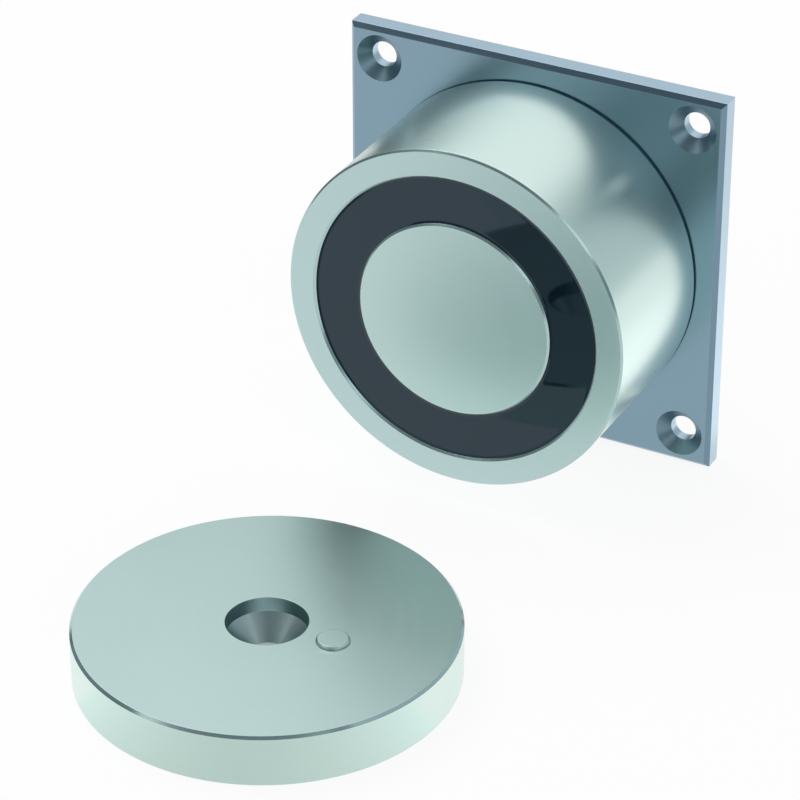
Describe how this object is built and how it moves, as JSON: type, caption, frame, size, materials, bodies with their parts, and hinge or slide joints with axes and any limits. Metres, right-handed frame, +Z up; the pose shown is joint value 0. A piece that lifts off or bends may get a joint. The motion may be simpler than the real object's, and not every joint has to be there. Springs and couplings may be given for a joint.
{
  "type": "electromagnetic door holder",
  "caption": "Round pot electromagnet on a square wall plate with countersunk corner holes, and its round door armature plate with a countersunk bolt hole and a sprung release pin.",
  "frame": {"origin": "centre of the wall plate's back face, on the wall", "axes": "+X along the plate, +Y into the wall (the pole face looks along -Y), +Z up"},
  "size_m": [0.08, 0.1405, 0.08],
  "materials": {
    "plate_steel": "blue zinc plated sheet, satin",
    "plated_steel": "turned and nickel plated, satin",
    "pole_steel": "ground pole face, satin",
    "armature_steel": "ground and nickel plated, satin",
    "resin": "dark cast resin, glossy",
    "bobbin_plastic": "glass filled moulding",
    "copper_wire": "enamelled copper wire, glossy",
    "tape": "yellow polyester tape",
    "insulator_board": "pressed insulating board",
    "screw_steel": "zinc plated, satin",
    "spring_steel": "drawn spring wire",
    "terminal_plastic": "natural white moulding",
    "brass": "turned brass",
    "lead_red": "insulated lead",
    "lead_black": "insulated lead",
    "sleeve": "woven insulating sleeve",
    "diode_epoxy": "moulded epoxy body with tinned leads",
    "grommet_rubber": "moulded rubber"
  },
  "bodies": {
    "holder": {"mounting_plate": "plate_steel", "magnet_pot": "plated_steel", "pole_core": "pole_steel", "coil_bobbin": "bobbin_plastic", "coil_winding": "copper_wire", "winding_tape": "tape", "base_insulator": "insulator_board", "potting_ring": "resin", "fixing_screw": "screw_steel", "locating_pin": "screw_steel", "terminal_housing": "terminal_plastic", "terminal_clamps": "brass", "terminal_screws": "screw_steel", "terminal_fixing_screw": "screw_steel", "lead_wire_positive": "lead_red", "lead_wire_negative": "lead_black", "lead_sleeve": "sleeve", "suppressor_diode": "diode_epoxy", "cable_grommet": "grommet_rubber", "armature_plate": "armature_steel", "release_spring": "spring_steel", "release_plug": "screw_steel"},
    "release_pin": {"release_pin": "armature_steel"}
  },
  "joints": [
    {"name": "release_pin_press", "type": "slide", "parent": "holder", "child": "release_pin", "axis": [0, 0, -1], "range_m": [0, 0.0006], "stiffness_N_per_m": 800, "springref_m": -0.003, "deforming": ["release_spring"]}
  ]
}
